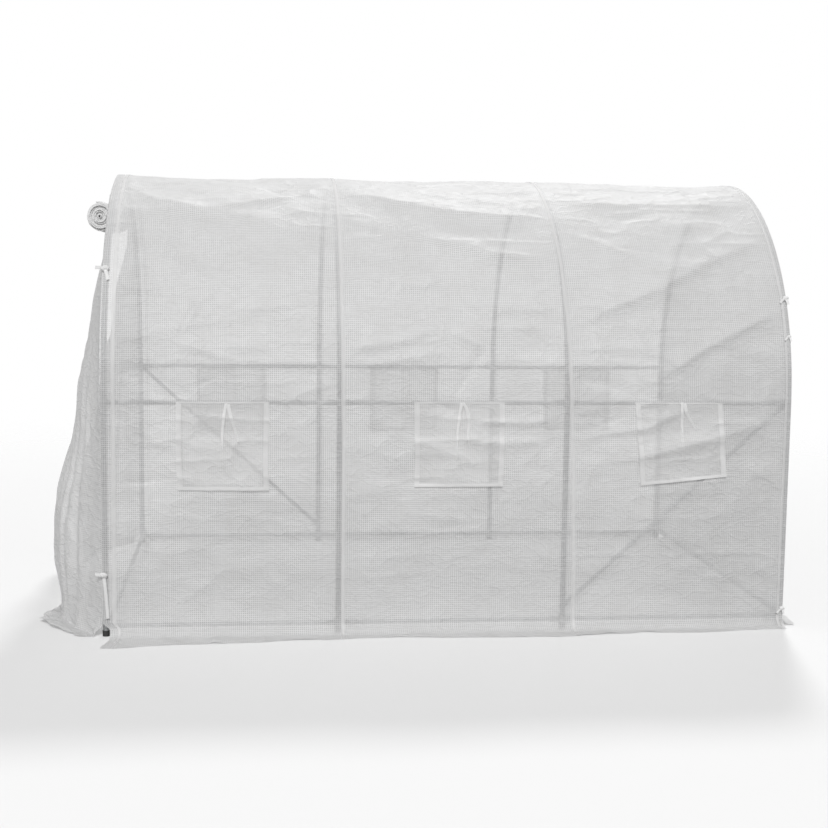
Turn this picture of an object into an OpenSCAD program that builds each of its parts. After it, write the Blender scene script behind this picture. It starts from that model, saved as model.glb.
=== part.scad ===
// Polytunnel greenhouse: steel hoops with rails and braces under a reinforced film
// cover that has window flaps, skirts and a roll-up door. Millimetres, +Z up.
// The origin is the middle of the whole footprint, at floor level. X runs along the
// tunnel with the door end at -X, and the front wall is at -Y.

/* [Tunnel] */
// Length between the end hoops, centre to centre
tunnel_l = 3000; // [2400:50:4200]
// Width between the front and back posts, centre to centre
tunnel_w = 2000; // [1700:50:2600]
// Height of the straight posts, up to where the arches spring
post_h = 1000; // [850:10:1300]

/* [Frame tubes] */
// Diameter of the hoop tube
hoop_d = 25; // [20:1:38]
// Diameter of the rail and brace tube
rail_d = 19; // [15:1:24]
// Thickness of a flattened tube end
tab_t = 2.6; // [1.6:0.2:4]
// Width of a flattened tube end
tab_w = 24; // [20:1:26]
// Flat length of a tube end past where a brace comes clear of a rail
tab_spare = 1; // [0:0.5:12]
// Length over which a flattened end swells to the full tube
tab_swell = 23; // [15:1:40]

/* [Rails] */
// Height of the ground rails along the walls
ground_rail_z = 40; // [38:1:48]
// Height of the ground rails across the ends
end_rail_z = 68; // [68:1:90]
// Height of the mid rails above the spring line
mid_rail_rise = 10; // [0:1:60]
// Height of the bolt at the foot of a brace
brace_foot_z = 95; // [80:1:200]

/* [Foot caps] */
// Outer diameter of a foot cap at a 25 mm hoop tube, as added wall
cap_wall = 2.7; // [2:0.1:3]
// Height of a foot cap
cap_h = 25; // [18:1:26]
// Thickness of the floor of a foot cap
cap_floor = 5; // [3:1:8]

/* [Cover] */
// Thickness of the film
cover_t = 3; // [2:0.5:5]
// Reach of the side skirts beyond the walls
skirt_reach = 140; // [80:5:250]
// Bend of the side skirts onto the floor
skirt_bend_r = 55; // [45:1:70]
// Reach of the skirt beyond the far end
far_skirt_reach = 58; // [50:1:200]
// Bend of the far end skirt onto the floor
far_bend_r = 42; // [40:1:48]
// Width of a seam tape
seam_w = 22; // [15:1:40]
// Thickness of seam, flap and tie tapes
tape_t = 1; // [0.6:0.2:2]
// Distance of the inner seams past their hoops
seam_offset = 15; // [0:1:60]
// Distance of the end seams inside the end hoops
end_seam_inset = 18; // [14:1:60]

/* [Door end] */
// Width of the doorway
door_w = 900; // [600:10:1000]
// Height of the lower edge of the sheet over the doorway
door_top_z = 1780; // [1500:10:1780]
// Diameter of the rolled-up door
roll_d = 124; // [90:1:130]
// Distance of the roll ends inside the doorway edges
roll_inset = 10; // [5:1:60]
// Distance of the roll's axis above the lower edge of the header
roll_rise = 25; // [10:1:40]
// Width of a tie round the rolled-up door
roll_tie_w = 20; // [10:1:40]
// How far the loose panels beside the doorway stand out
billow = 260; // [100:5:320]
// Height below which the panels stand out
billow_top_z = 1650; // [1300:10:1650]
// Height where the panels stand out furthest
billow_peak_z = 380; // [200:10:600]
// Reach of the loose skirt under those panels
door_skirt_reach = 115; // [90:5:200]

/* [Windows] */
// Width of a window opening
window_w = 340; // [200:5:440]
// Height of a window opening
window_h = 325; // [200:5:420]
// Distance of the windows' upper edge below the mid rail
window_drop = 25; // [20:1:80]
// Margin of a flap past its opening
flap_margin = 28; // [15:1:30]
// Thickness of a flap
flap_t = 2; // [1:0.5:4]
// Width of the fastening strips on a flap
strip_w = 28; // [15:1:35]
// Thickness of a window screen
screen_t = 1; // [0.6:0.2:2]
// Length of a window tie
tie_l = 200; // [120:5:260]
// Width of a window tie
tie_w = 16; // [10:1:20]
// Lean of a window tie
tie_lean = 10; // [4:1:16]

/* [Hidden] */
$fn = 96;

steel = [0.62, 0.64, 0.65];
black_plastic = [0.08, 0.08, 0.08];
film = [0.90, 0.92, 0.91];
film_edge = [0.96, 0.97, 0.96];
screen_white = [0.78, 0.80, 0.79];

bays = 3;
bay_l = tunnel_l / bays;
half_w = tunnel_w / 2;
ridge_z = post_h + half_w;
mid_rail_z = post_h + mid_rail_rise;
seat_gap = 0.3;                  // clearance where a round or soft piece is seated
FRONT = -1;
BACK = 1;

// Cover: its inner face clears the outside of the hoops by the seat gap
cover_in = half_w + hoop_d / 2 + seat_gap;
cover_out = cover_in + cover_t;
end_clear = hoop_d / 2 + seat_gap;   // from an end hoop's centre to its end sheet

// Stack at a bolt: hoop, seat gap, outer tab, stack gap, inner tab
stack_gap = 0.3;
rail_in = hoop_d / 2 + seat_gap + tab_t + stack_gap / 2;

// A brace and a mid rail share a bolt, so their ends stay flat until they are clear,
// by a whole number of millimetres
brace_rise = mid_rail_z - brace_foot_z;
brace_angle = atan2(brace_rise, bay_l);
tab_flat = ceil(tab_w / (2 * sin(brace_angle / 2)) + tab_spare);
swell_x = tab_flat + tab_swell;      // from a bolt to the full tube

cap_d = hoop_d + 2 * seat_gap + 2 * cap_wall;
post_foot_z = cap_floor + seat_gap;

// Loose panels beside the doorway
door_half = door_w / 2;
panel_cols = 12;
bend_rows = 4;
leg_rows = 9;
arch_rows = 11;
tip_w = 12;                      // width left at the very top of a panel
share_power = 0.7;               // how soon a panel swells from its sewn edge
peak_round = 0.25;               // how rounded the swell is at its peak
floor_dip = 0.1;                 // share by which the swell eases near the floor
flare_start = 0.5;               // share of the width where the skirt starts to narrow
flare_end = 0.85;                // share of the width where the skirt hangs straight
flare_least = 10;                // reach of the skirt where it hangs straight
flare_bend = 0.48;               // share of the skirt's reach that is its bend

arch_top_angle = acos((door_half + tip_w) / cover_out);

function ease(u) = u <= 0 ? 0 : u >= 1 ? 1 : u * u * (3 - 2 * u);
function swell_share(z) = (billow_top_z - z) / (billow_top_z - billow_peak_z);
function below_peak(u) = 1 - floor_dip * (u - 1) / (swell_share(0) - 1);
function above_peak(u) = peak_round * sin(90 * u) + (1 - peak_round) * u;
function swell(u) = u <= 0 ? 0 : u < 1 ? above_peak(u) : below_peak(u);
function stand_out(s, z) = billow * swell(swell_share(z)) * sin(90 * pow(s, share_power));
function flare_left(s) = 1 - ease((s - flare_start) / (flare_end - flare_start));
function flare(s) = flare_least + (door_skirt_reach - flare_least) * flare_left(s);
function flare_r(s) = flare_bend * flare(s);
function skirt_tip(s) = stand_out(s, flare_r(s)) + flare(s);

// The footprint is centred: the door end reaches out further than the far end
door_reach = max([for (k = [0 : panel_cols]) skirt_tip(k / panel_cols)]) + end_clear;
far_reach = end_clear + cover_t + far_skirt_reach;
mid_x = (door_reach - far_reach) / 2;

door_plane = mid_x - tunnel_l / 2 - end_clear;
far_plane = mid_x + tunnel_l / 2 + end_clear;

roll_r = roll_d / 2;
roll_x = door_plane - cover_t - seat_gap - tape_t - seat_gap - roll_r;
roll_z = door_top_z + roll_rise;
roll_tie_y = door_half * 0.62;

flap_w = window_w + 2 * flap_margin;
flap_h = window_h + 2 * flap_margin;
window_z = mid_rail_z - window_drop - window_h;
tie_top = flap_h - flap_margin - tie_w / 2;   // above a window's lower edge

function hoop_x(i) = mid_x - tunnel_l / 2 + i * bay_l;
function bay_start(i) = i == 0 ? door_plane : hoop_x(i) + seam_offset;
function bay_end(i) = i == bays - 1 ? far_plane : hoop_x(i + 1) + seam_offset;
function window_x(i) = hoop_x(i) + bay_l / 2;

// Seams: one inside each end hoop and one on each joint between the bay sheets
seam_xs = [
    hoop_x(0) + end_seam_inset,
    hoop_x(1) + seam_offset,
    hoop_x(2) + seam_offset,
    hoop_x(bays) - end_seam_inset];

// ---- frame ----

// Turns a shape drawn across the tunnel upright: its x goes to Y, its y to Z
module across() {
    rotate([90, 0, 90])
        children();
}

module hoop_post(i, side) {
    color(steel)
        translate([hoop_x(i), side * half_w, post_foot_z])
            cylinder(d = hoop_d, h = post_h - post_foot_z);
}

module hoop_arch(i) {
    color(steel)
        translate([hoop_x(i), 0, post_h])
            across()
                rotate_extrude(angle = 180)
                    translate([half_w, 0])
                        circle(d = hoop_d);
}

module foot_caps() {
    color(black_plastic)
        for (i = [0 : bays], side = [FRONT, BACK])
            translate([hoop_x(i), side * half_w, 0])
                difference() {
                    cylinder(d = cap_d, h = cap_h);
                    translate([0, 0, cap_floor])
                        cylinder(d = hoop_d + 2 * seat_gap, h = cap_h);
                }
}

// Flattened tube end along +X with its bolt point at the origin. The hoop is on the
// +Y side, and layer 1 lies against it while layer -1 lies on the inside of that.
module tube_end(layer) {
    tab_near = layer > 0 ? stack_gap / 2 : -stack_gap / 2 - tab_t;
    tab_far = tab_near + tab_t;
    intersection() {
        // seen from the side of the tab
        rotate([90, 0, 0])
            linear_extrude(rail_d, center = true)
                union() {
                    circle(d = tab_w);
                    polygon([
                        [0, -tab_w / 2], [tab_flat, -tab_w / 2], [swell_x, -rail_d / 2],
                        [swell_x, rail_d / 2], [tab_flat, tab_w / 2], [0, tab_w / 2]]);
                }
        // seen from above
        linear_extrude(2 * tab_w, center = true)
            polygon([
                [-tab_w, tab_near], [tab_flat, tab_near], [swell_x, -rail_d / 2],
                [swell_x, rail_d / 2], [tab_flat, tab_far], [-tab_w, tab_far]]);
        // round where it meets the tube
        translate([-tab_w, 0, 0])
            rotate([0, 90, 0])
                cylinder(d1 = 2 * tab_w, d2 = rail_d, h = tab_w + swell_x);
    }
}

// Rail of length l between two bolts, along +X, with the hoops on its +Y side
module rail(l, start_layer, end_layer) {
    union() {
        tube_end(start_layer);
        translate([l, 0, 0])
            mirror([1, 0, 0])
                tube_end(end_layer);
        translate([swell_x, 0, 0])
            rotate([0, 90, 0])
                cylinder(d = rail_d, h = l - 2 * swell_x);
    }
}

// One rail along the tunnel, a tube for each bay, with the hoops on its +Y side.
// The middle bay's ends lie on the inside of its neighbours' ends.
module long_rail() {
    color(steel)
        for (i = [0 : bays - 1])
            translate([hoop_x(i), 0, 0])
                rail(bay_l, i % 2 == 0 ? 1 : -1, i % 2 == 0 ? 1 : -1);
}

module wall_rail(side, z) {
    translate([0, side * (half_w - rail_in), z])
        mirror([0, side < 0 ? 1 : 0, 0])
            long_rail();
}

module ridge_rail() {
    translate([0, 0, ridge_z - rail_in])
        rotate([90, 0, 0])
            long_rail();
}

// Rail across an end, between the front and the back post
module end_rail(x, outward) {
    color(steel)
        translate([x - outward * rail_in, -half_w, end_rail_z])
            mirror([outward > 0 ? 1 : 0, 0, 0])
                rotate([0, 0, 90])
                    rail(tunnel_w, 1, 1);
}

// Brace from the mid rail's bolt at an end hoop down to the foot of the next hoop.
// Drawn for the front wall's last bay, with its foot at the origin.
module brace_tube() {
    color(steel)
        rotate([0, -brace_angle, 0])
            rail(norm([bay_l, brace_rise]), 1, -1);
}

module front_brace() {
    translate([hoop_x(bays - 1), -half_w + rail_in, brace_foot_z])
        mirror([0, 1, 0])
            brace_tube();
}

module back_brace() {
    translate([hoop_x(1), half_w - rail_in, brace_foot_z])
        mirror([1, 0, 0])
            brace_tube();
}

// ---- cover ----

// Section of a skirt: a fall, a bend of radius r and a flat stretch on the floor,
// between depths d0 and d1 of the film, drawn from the film's inner face at x = 0
module skirt_section(r, reach, d0, d1) {
    translate([cover_t + r, cover_t + r])
        intersection() {
            difference() {
                circle(r = r + cover_t - d0);
                circle(r = r + cover_t - d1);
            }
            translate([-2 * (r + cover_t), -2 * (r + cover_t)])
                square(2 * (r + cover_t));
        }
    translate([cover_t + r, d0])
        square([reach - r, d1 - d0]);
}

// Section of the roof over the arches, between depths d0 and d1 of the film
module roof_section(d0, d1) {
    translate([0, post_h])
        intersection() {
            difference() {
                circle(r = cover_in + d1);
                circle(r = cover_in + d0);
            }
            translate([-2 * cover_out, 0])
                square([4 * cover_out, 2 * cover_out]);
        }
}

// Section of a side wall and its skirt, between depths d0 and d1 of the film
module wall_section(side, d0, d1) {
    mirror([side < 0 ? 1 : 0, 0])
        translate([cover_in, 0]) {
            translate([d0, cover_t + skirt_bend_r])
                square([d1 - d0, post_h - cover_t - skirt_bend_r]);
            skirt_section(skirt_bend_r, skirt_reach, d0, d1);
        }
}

// Runs a section along bay i
module along_bay(i) {
    translate([bay_start(i), 0, 0])
        across()
            linear_extrude(bay_end(i) - bay_start(i))
                children();
}

module roof(i) {
    color(film)
        along_bay(i)
            roof_section(0, cover_t);
}

module side_wall(i, side) {
    color(film)
        difference() {
            along_bay(i)
                wall_section(side, 0, cover_t);
            translate([window_x(i) - window_w / 2, -2 * cover_out, window_z])
                cube([window_w, 4 * cover_out, window_h]);
        }
}

module cover_seam_tapes() {
    color(film_edge)
        for (x = seam_xs)
            translate([x - seam_w / 2, 0, 0])
                across()
                    linear_extrude(seam_w) {
                        roof_section(cover_t, cover_t + tape_t);
                        wall_section(FRONT, cover_t, cover_t + tape_t);
                        wall_section(BACK, cover_t, cover_t + tape_t);
                    }
}

// Flat sheet that closes an end, above height z0, drawn in (y, z)
module end_outline(z0) {
    translate([0, post_h])
        intersection() {
            circle(r = cover_out);
            translate([-cover_out, 0])
                square([2 * cover_out, cover_out]);
        }
    translate([-cover_out, z0])
        square([2 * cover_out, post_h - z0]);
}

module far_end_panel() {
    color(film)
        translate([far_plane, 0, 0]) {
            across()
                linear_extrude(cover_t)
                    end_outline(cover_t + far_bend_r);
            translate([0, cover_out, 0])
                rotate([90, 0, 0])
                    linear_extrude(2 * cover_out)
                        skirt_section(far_bend_r, far_skirt_reach, 0, cover_t);
        }
}

module door_end_header() {
    color(film)
        translate([door_plane - cover_t, 0, 0])
            across()
                linear_extrude(cover_t)
                    intersection() {
                        end_outline(0);
                        translate([-door_half, door_top_z])
                            square([door_w, cover_out]);
                    }
}

// One point of the loose panel: [out from the door plane, sideways, height].
// Rows run from the skirt's edge on the floor, round its bend, up the leg and arch.
function panel_row_count() = 1 + bend_rows + leg_rows + arch_rows;
function arch_angle(j) = arch_top_angle * j / arch_rows;
function leg_z(s, j) = flare_r(s) + (post_h - flare_r(s)) * j / leg_rows;
function floor_point(s) = [skirt_tip(s), 0, 0, 1];
function bend_point(s, a) = let (r = flare_r(s))
    [stand_out(s, r) + r - r * sin(a), r - r * cos(a), sin(a), cos(a)];
function wall_point(s, z) = [stand_out(s, z), z, 1, 0];
function row_point(s, j) =
    j == 0 ? floor_point(s)
    : j <= bend_rows ? bend_point(s, 90 * (j - 1) / bend_rows)
    : j <= bend_rows + leg_rows ? wall_point(s, leg_z(s, j - bend_rows))
    : wall_point(s, post_h + cover_out * sin(arch_angle(j - bend_rows - leg_rows)));
function row_side(s, j) = let (k = j - bend_rows - leg_rows)
    (1 - s) * (k > 0 ? cover_out * cos(arch_angle(k)) : cover_out) + s * door_half;
function panel_point(s, j, t) = let (p = row_point(s, j))
    [-p[0] - t * p[2], -row_side(s, j), p[1] + t * p[3]];

module loose_panel() {
    rows = panel_row_count();
    cols = panel_cols + 1;
    layer = rows * cols;
    points = [for (t = [0, cover_t]) for (j = [0 : rows - 1]) for (k = [0 : panel_cols])
        panel_point(k / panel_cols, j, t)];
    quads = [for (j = [0 : rows - 2]) for (k = [0 : panel_cols - 1])
        let (a = j * cols + k) [a, a + 1, a + cols + 1, a + cols]];
    inner = [for (q = quads) for (f = [[q[0], q[1], q[2]], [q[0], q[2], q[3]]]) f];
    outer = [for (f = inner) [f[2] + layer, f[1] + layer, f[0] + layer]];
    border = concat(
        [for (k = [0 : panel_cols - 1]) [k + 1, k]],
        [for (j = [0 : rows - 2]) [j * cols, (j + 1) * cols]],
        [for (k = [0 : panel_cols - 1]) [(rows - 1) * cols + k, (rows - 1) * cols + k + 1]],
        [for (j = [0 : rows - 2]) [(j + 1) * cols + panel_cols, j * cols + panel_cols]]);
    edge = [for (e = border) for (f = [
        [e[0], e[1], e[1] + layer], [e[0], e[1] + layer, e[0] + layer]]) f];
    polyhedron(points, concat(inner, outer, edge));
}

module door_end_panel(side) {
    color(film)
        translate([door_plane, 0, 0])
            mirror([0, side > 0 ? 1 : 0, 0])
                loose_panel();
}

module door_roll() {
    color(film_edge)
        translate([roll_x, roll_inset - door_half, roll_z])
            rotate([-90, 0, 0])
                cylinder(d = roll_d, h = door_w - 2 * roll_inset);
}

module door_roll_ties() {
    color(film_edge)
        for (y = [-roll_tie_y, roll_tie_y])
            translate([roll_x, y - roll_tie_w / 2, roll_z])
                rotate([-90, 0, 0])
                    difference() {
                        cylinder(r = roll_r + seat_gap + tape_t, h = roll_tie_w);
                        translate([0, 0, -roll_tie_w])
                            cylinder(r = roll_r + seat_gap, h = 3 * roll_tie_w);
                    }
}

// ---- windows ----

// Places a piece at each window of a wall, from the window's lower middle on the
// film's outer face, with -Y facing out
module at_windows(side) {
    for (i = [0 : bays - 1])
        mirror([0, side > 0 ? 1 : 0, 0])
            translate([window_x(i), -cover_out, window_z])
                children();
}

module window_screens(side) {
    color(screen_white)
        at_windows(side)
            translate([seat_gap - window_w / 2, cover_t - screen_t, seat_gap])
                cube([window_w - 2 * seat_gap, screen_t, window_h - 2 * seat_gap]);
}

module window_flaps(side) {
    color(film)
        at_windows(side)
            translate([-flap_w / 2, -flap_t, -flap_margin])
                cube([flap_w, flap_t, flap_h]);
}

// Fastening strips down both sides and along the foot of each flap
module window_strips() {
    color(film_edge)
        for (side = [FRONT, BACK])
            at_windows(side)
                translate([-flap_w / 2, -flap_t - tape_t, -flap_margin])
                    difference() {
                        cube([flap_w, tape_t, flap_h]);
                        translate([strip_w, -tape_t, strip_w])
                            cube([flap_w - 2 * strip_w, 3 * tape_t, flap_h]);
                    }
}

module window_ties() {
    color(film_edge)
        for (side = [FRONT, BACK])
            at_windows(side)
                for (lean = [-1, 1])
                    translate([lean * tie_w, -flap_t - tape_t, tie_top])
                        rotate([0, -lean * tie_lean, 0])
                            translate([-tie_w / 2, 0, -tie_l])
                                cube([tie_w, tape_t, tie_l]);
}

hoop_post(0, FRONT);  // hoop_1_front_post
hoop_arch(0);  // hoop_1_arch
hoop_post(0, BACK);  // hoop_1_back_post
hoop_post(1, FRONT);  // hoop_2_front_post
hoop_arch(1);  // hoop_2_arch
hoop_post(1, BACK);  // hoop_2_back_post
hoop_post(2, FRONT);  // hoop_3_front_post
hoop_arch(2);  // hoop_3_arch
hoop_post(2, BACK);  // hoop_3_back_post
hoop_post(3, FRONT);  // hoop_4_front_post
hoop_arch(3);  // hoop_4_arch
hoop_post(3, BACK);  // hoop_4_back_post
foot_caps();
ridge_rail();
wall_rail(FRONT, mid_rail_z);  // front_mid_rail
wall_rail(BACK, mid_rail_z);  // back_mid_rail
wall_rail(FRONT, ground_rail_z);  // front_ground_rail
wall_rail(BACK, ground_rail_z);  // back_ground_rail
end_rail(hoop_x(0), -1);  // door_end_ground_rail
end_rail(hoop_x(bays), 1);  // far_end_ground_rail
front_brace();
back_brace();
roof(0);  // roof_1
roof(1);  // roof_2
roof(2);  // roof_3
side_wall(0, FRONT);  // front_wall_1
side_wall(1, FRONT);  // front_wall_2
side_wall(2, FRONT);  // front_wall_3
side_wall(0, BACK);  // back_wall_1
side_wall(1, BACK);  // back_wall_2
side_wall(2, BACK);  // back_wall_3
door_end_panel(FRONT);  // door_end_panel_front
door_end_panel(BACK);  // door_end_panel_back
door_end_header();
door_roll();
door_roll_ties();
far_end_panel();
window_screens(FRONT);  // front_window_screens
window_screens(BACK);  // back_window_screens
window_flaps(FRONT);  // front_window_flaps
window_flaps(BACK);  // back_window_flaps
window_strips();
window_ties();
cover_seam_tapes();
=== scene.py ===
import math

import bmesh
import bpy
import numpy as np
from mathutils import Matrix, Vector


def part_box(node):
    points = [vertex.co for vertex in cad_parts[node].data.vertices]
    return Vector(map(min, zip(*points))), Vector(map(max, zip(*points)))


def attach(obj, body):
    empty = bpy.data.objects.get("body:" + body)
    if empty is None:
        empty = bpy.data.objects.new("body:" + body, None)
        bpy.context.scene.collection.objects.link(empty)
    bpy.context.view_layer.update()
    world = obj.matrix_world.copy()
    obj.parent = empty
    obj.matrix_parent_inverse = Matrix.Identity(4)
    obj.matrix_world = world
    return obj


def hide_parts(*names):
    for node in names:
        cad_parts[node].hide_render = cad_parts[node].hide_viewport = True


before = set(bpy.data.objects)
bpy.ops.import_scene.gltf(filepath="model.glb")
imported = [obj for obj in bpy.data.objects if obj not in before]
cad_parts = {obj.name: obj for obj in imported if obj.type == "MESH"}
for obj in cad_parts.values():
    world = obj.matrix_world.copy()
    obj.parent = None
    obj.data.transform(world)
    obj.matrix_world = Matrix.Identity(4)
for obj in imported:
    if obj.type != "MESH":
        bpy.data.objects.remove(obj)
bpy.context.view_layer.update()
scene = bpy.context.scene

# Camera

view = {"eye": (-0.741737, -7.1056, 1.655), "yaw": 6.438, "down": 6.428, "roll": 0.750,
        "lens": 61.96, "sensor": 36}


def makeCamera():
    yaw, down, roll = (math.radians(view[key]) for key in ("yaw", "down", "roll"))
    ahead = Vector((math.sin(yaw) * math.cos(down), math.cos(yaw) * math.cos(down), -math.sin(down)))
    level = Vector((math.cos(yaw), -math.sin(yaw), 0))
    upright = level.cross(ahead)
    right = level * math.cos(roll) + upright * math.sin(roll)
    up = upright * math.cos(roll) - level * math.sin(roll)
    camera = bpy.data.objects.new("camera", bpy.data.cameras.new("camera"))
    camera.data.lens = view["lens"]
    camera.data.sensor_width = view["sensor"]
    axes = Matrix((right, up, -ahead)).transposed().to_4x4()
    camera.matrix_world = Matrix.Translation(view["eye"]) @ axes
    scene.collection.objects.link(camera)
    scene.camera = camera


makeCamera()
print("camera set")

# Places taken from the frame

hoopX = [sum(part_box(f"hoop_{n}_front_post")[i].x for i in (0, 1)) / 2 for n in (1, 2, 3, 4)]
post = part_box("hoop_1_front_post")
tubeR = (post[1].y - post[0].y) / 2
postY = -(post[0].y + post[1].y) / 2
springZ = post[1].z  # where the posts end and the arches begin
filmHalf = 0.0015  # half the thickness of the plain cover
roofs = [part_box(f"roof_{n}") for n in (1, 2, 3)]
filmR = roofs[0][1].z - springZ - filmHalf
doorX, farX = roofs[0][0].x, roofs[2][1].x
seamX = [roofs[0][1].x, roofs[1][1].x]
quarter = filmR * math.pi / 2  # girth from the ridge down to the spring of the arch
crown = springZ + quarter  # girth from the floor to the ridge
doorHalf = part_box("door_end_header")[1].y
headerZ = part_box("door_end_header")[0].z


def smooth(t):
    t = np.clip(t, 0, 1)
    return t * t * (3 - 2 * t)


def cloud(x, y, cell, seed):  # smooth random heights from -1 to 1
    lattice = np.random.default_rng(seed).uniform(-1, 1, (64, 64))
    gx, gy = np.asarray(x) / cell, np.asarray(y) / cell
    ix, iy = np.floor(gx).astype(int), np.floor(gy).astype(int)
    fx, fy = (t * t * t * (t * (6 * t - 15) + 10) for t in (gx - ix, gy - iy))
    low = lattice[ix % 64, iy % 64] * (1 - fx) + lattice[(ix + 1) % 64, iy % 64] * fx
    high = lattice[ix % 64, (iy + 1) % 64] * (1 - fx) + lattice[(ix + 1) % 64, (iy + 1) % 64] * fx
    return low * (1 - fy) + high * fy


# Shader writing


class Wire:  # a socket that takes part in arithmetic
    def __init__(self, board, socket):
        self.board, self.socket = board, socket

    def __add__(self, other):
        return self.board.calc("ADD", self, other)

    def __radd__(self, other):
        return self.board.calc("ADD", other, self)

    def __sub__(self, other):
        return self.board.calc("SUBTRACT", self, other)

    def __rsub__(self, other):
        return self.board.calc("SUBTRACT", other, self)

    def __mul__(self, other):
        return self.board.calc("MULTIPLY", self, other)

    def __rmul__(self, other):
        return self.board.calc("MULTIPLY", other, self)

    def __pow__(self, other):
        return self.board.calc("POWER", self, other)

    def __abs__(self):
        return self.board.calc("ABSOLUTE", self)


class Board:  # one material's nodes
    def __init__(self, name):
        self.material = bpy.data.materials.new(name)
        self.material.use_nodes = True
        self.tree = self.material.node_tree
        self.tree.nodes.clear()

    def node(self, kind, settings=None, inputs=None, output=0):
        made = self.tree.nodes.new(kind)
        for key, value in (settings or {}).items():
            setattr(made, key, value)
        for key, value in (inputs or {}).items():
            if isinstance(value, Wire):
                self.tree.links.new(value.socket, made.inputs[key])
            else:
                made.inputs[key].default_value = value
        return Wire(self, made.outputs[output]) if made.outputs else self.material

    def calc(self, operation, *values):
        return self.node("ShaderNodeMath", {"operation": operation}, dict(enumerate(values)))

    def place(self, source="UV", scale=(1, 1, 1)):  # the piece's own coordinates, stretched
        spot = self.node("ShaderNodeTexCoord", output=source)
        return self.node("ShaderNodeMapping", {}, {"Vector": spot, "Scale": scale})

    def noise(self, where, scale, detail=3, rough=0.5):
        inputs = {"Vector": where, "Scale": scale, "Detail": detail, "Roughness": rough}
        return self.node("ShaderNodeTexNoise", {}, inputs)

    def ease(self, value, low, high, bottom=0, top=1):  # a smooth step
        inputs = {"Value": value, "From Min": low, "From Max": high, "To Min": bottom, "To Max": top}
        return self.node("ShaderNodeMapRange", {"interpolation_type": "SMOOTHSTEP"}, inputs)

    def tint(self, share, first, second):  # from one colour to another
        return self.node("ShaderNodeMix", {"data_type": "RGBA"}, {0: share, 6: first, 7: second}, 2)

    def bump(self, height, strength, distance):
        return self.node("ShaderNodeBump", {}, {"Strength": strength, "Distance": distance, "Height": height})

    def gloss(self, **inputs):
        named = {key.replace("_", " "): value for key, value in inputs.items()}
        return self.node("ShaderNodeBsdfPrincipled", {}, named)

    def finish(self, shader):
        return self.node("ShaderNodeOutputMaterial", {}, {"Surface": shader})


def grey(level, warmth=0.0):
    return (level + warmth, level, level - warmth, 1)


# Materials

threads = {"pitch": 0.0088, "width": 0.25, "uneven": 0.3}


def threadGrid(b, pitch, width, uneven):  # woven threads both ways, 1 on a thread and 0 in an opening
    spot = b.node("ShaderNodeTexCoord", output="UV")
    both = []
    for axis in (0, 1):
        count = b.node("ShaderNodeSeparateXYZ", {}, {"Vector": spot}, axis) * (1 / pitch)
        off = abs(b.calc("FRACT", count) - 0.5)
        line = b.ease(off, 0.5 - width / 2 - 0.03, 0.5 - width / 2 + 0.03)
        thread = b.calc("FLOOR", count + 0.5)
        chance = b.node("ShaderNodeTexWhiteNoise", {"noise_dimensions": "1D"}, {"W": thread})
        both.append(line * (chance * uneven + (1 - uneven)))
    return b.calc("MAXIMUM", both[0], both[1])


def filmMaterial(name, look):
    b = Board(name)
    weave = threadGrid(b, threads["pitch"], threads["width"], threads["uneven"])
    haze = b.noise(b.place(scale=(1, 1.4, 1)), 3.1, 4) - 0.5
    straight = weave * (look["thread"] - look["open"]) + look["open"] + haze * look["haze"]
    facing = b.node("ShaderNodeLayerWeight", {}, {"Blend": 0.5}, 1)
    slant = b.calc("MAXIMUM", 1 - facing, 0.12)  # seen at a slant, there is more film to look through
    cover = 1 - b.calc("MAXIMUM", 1 - straight, 0.001) ** b.calc("DIVIDE", 1, slant)
    creaseNoise = b.noise(b.place(scale=(1, 1.8, 1)), 13, 2, 0.45)
    crease = (1 - abs(creaseNoise - 0.5) * 2) ** 14
    fine = b.noise(b.place(scale=(1, 1.5, 1)), 55, 4, 0.55)
    height = crease * 1.1 + fine * 0.4 + weave * 0.12
    normal = b.bump(height, look["bump"], 0.004)
    patch = b.ease(b.noise(b.place(), 7, 5, 0.6), 0.35, 0.7)
    shade = b.tint(patch, grey(look["white"]), grey(look["white"] - 0.05, 0.003))
    rough = b.noise(b.place(), 24, 3) * 0.16 + look["rough"]
    front = b.gloss(Base_Color=shade, Roughness=rough, Normal=normal, Specular_IOR_Level=0.3)
    through = b.node("ShaderNodeBsdfTranslucent", {}, {"Color": grey(look["white"]), "Normal": normal})
    sheet = b.node("ShaderNodeMixShader", {}, {0: look["glow"], 1: front, 2: through})
    clear = b.node("ShaderNodeBsdfTransparent", {}, {"Color": grey(1.0)})
    return b.finish(b.node("ShaderNodeMixShader", {}, {0: cover, 1: clear, 2: sheet}))


stitches = {"rib": 0.0016, "step": 0.006}  # distance from one to the next along a tape


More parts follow.
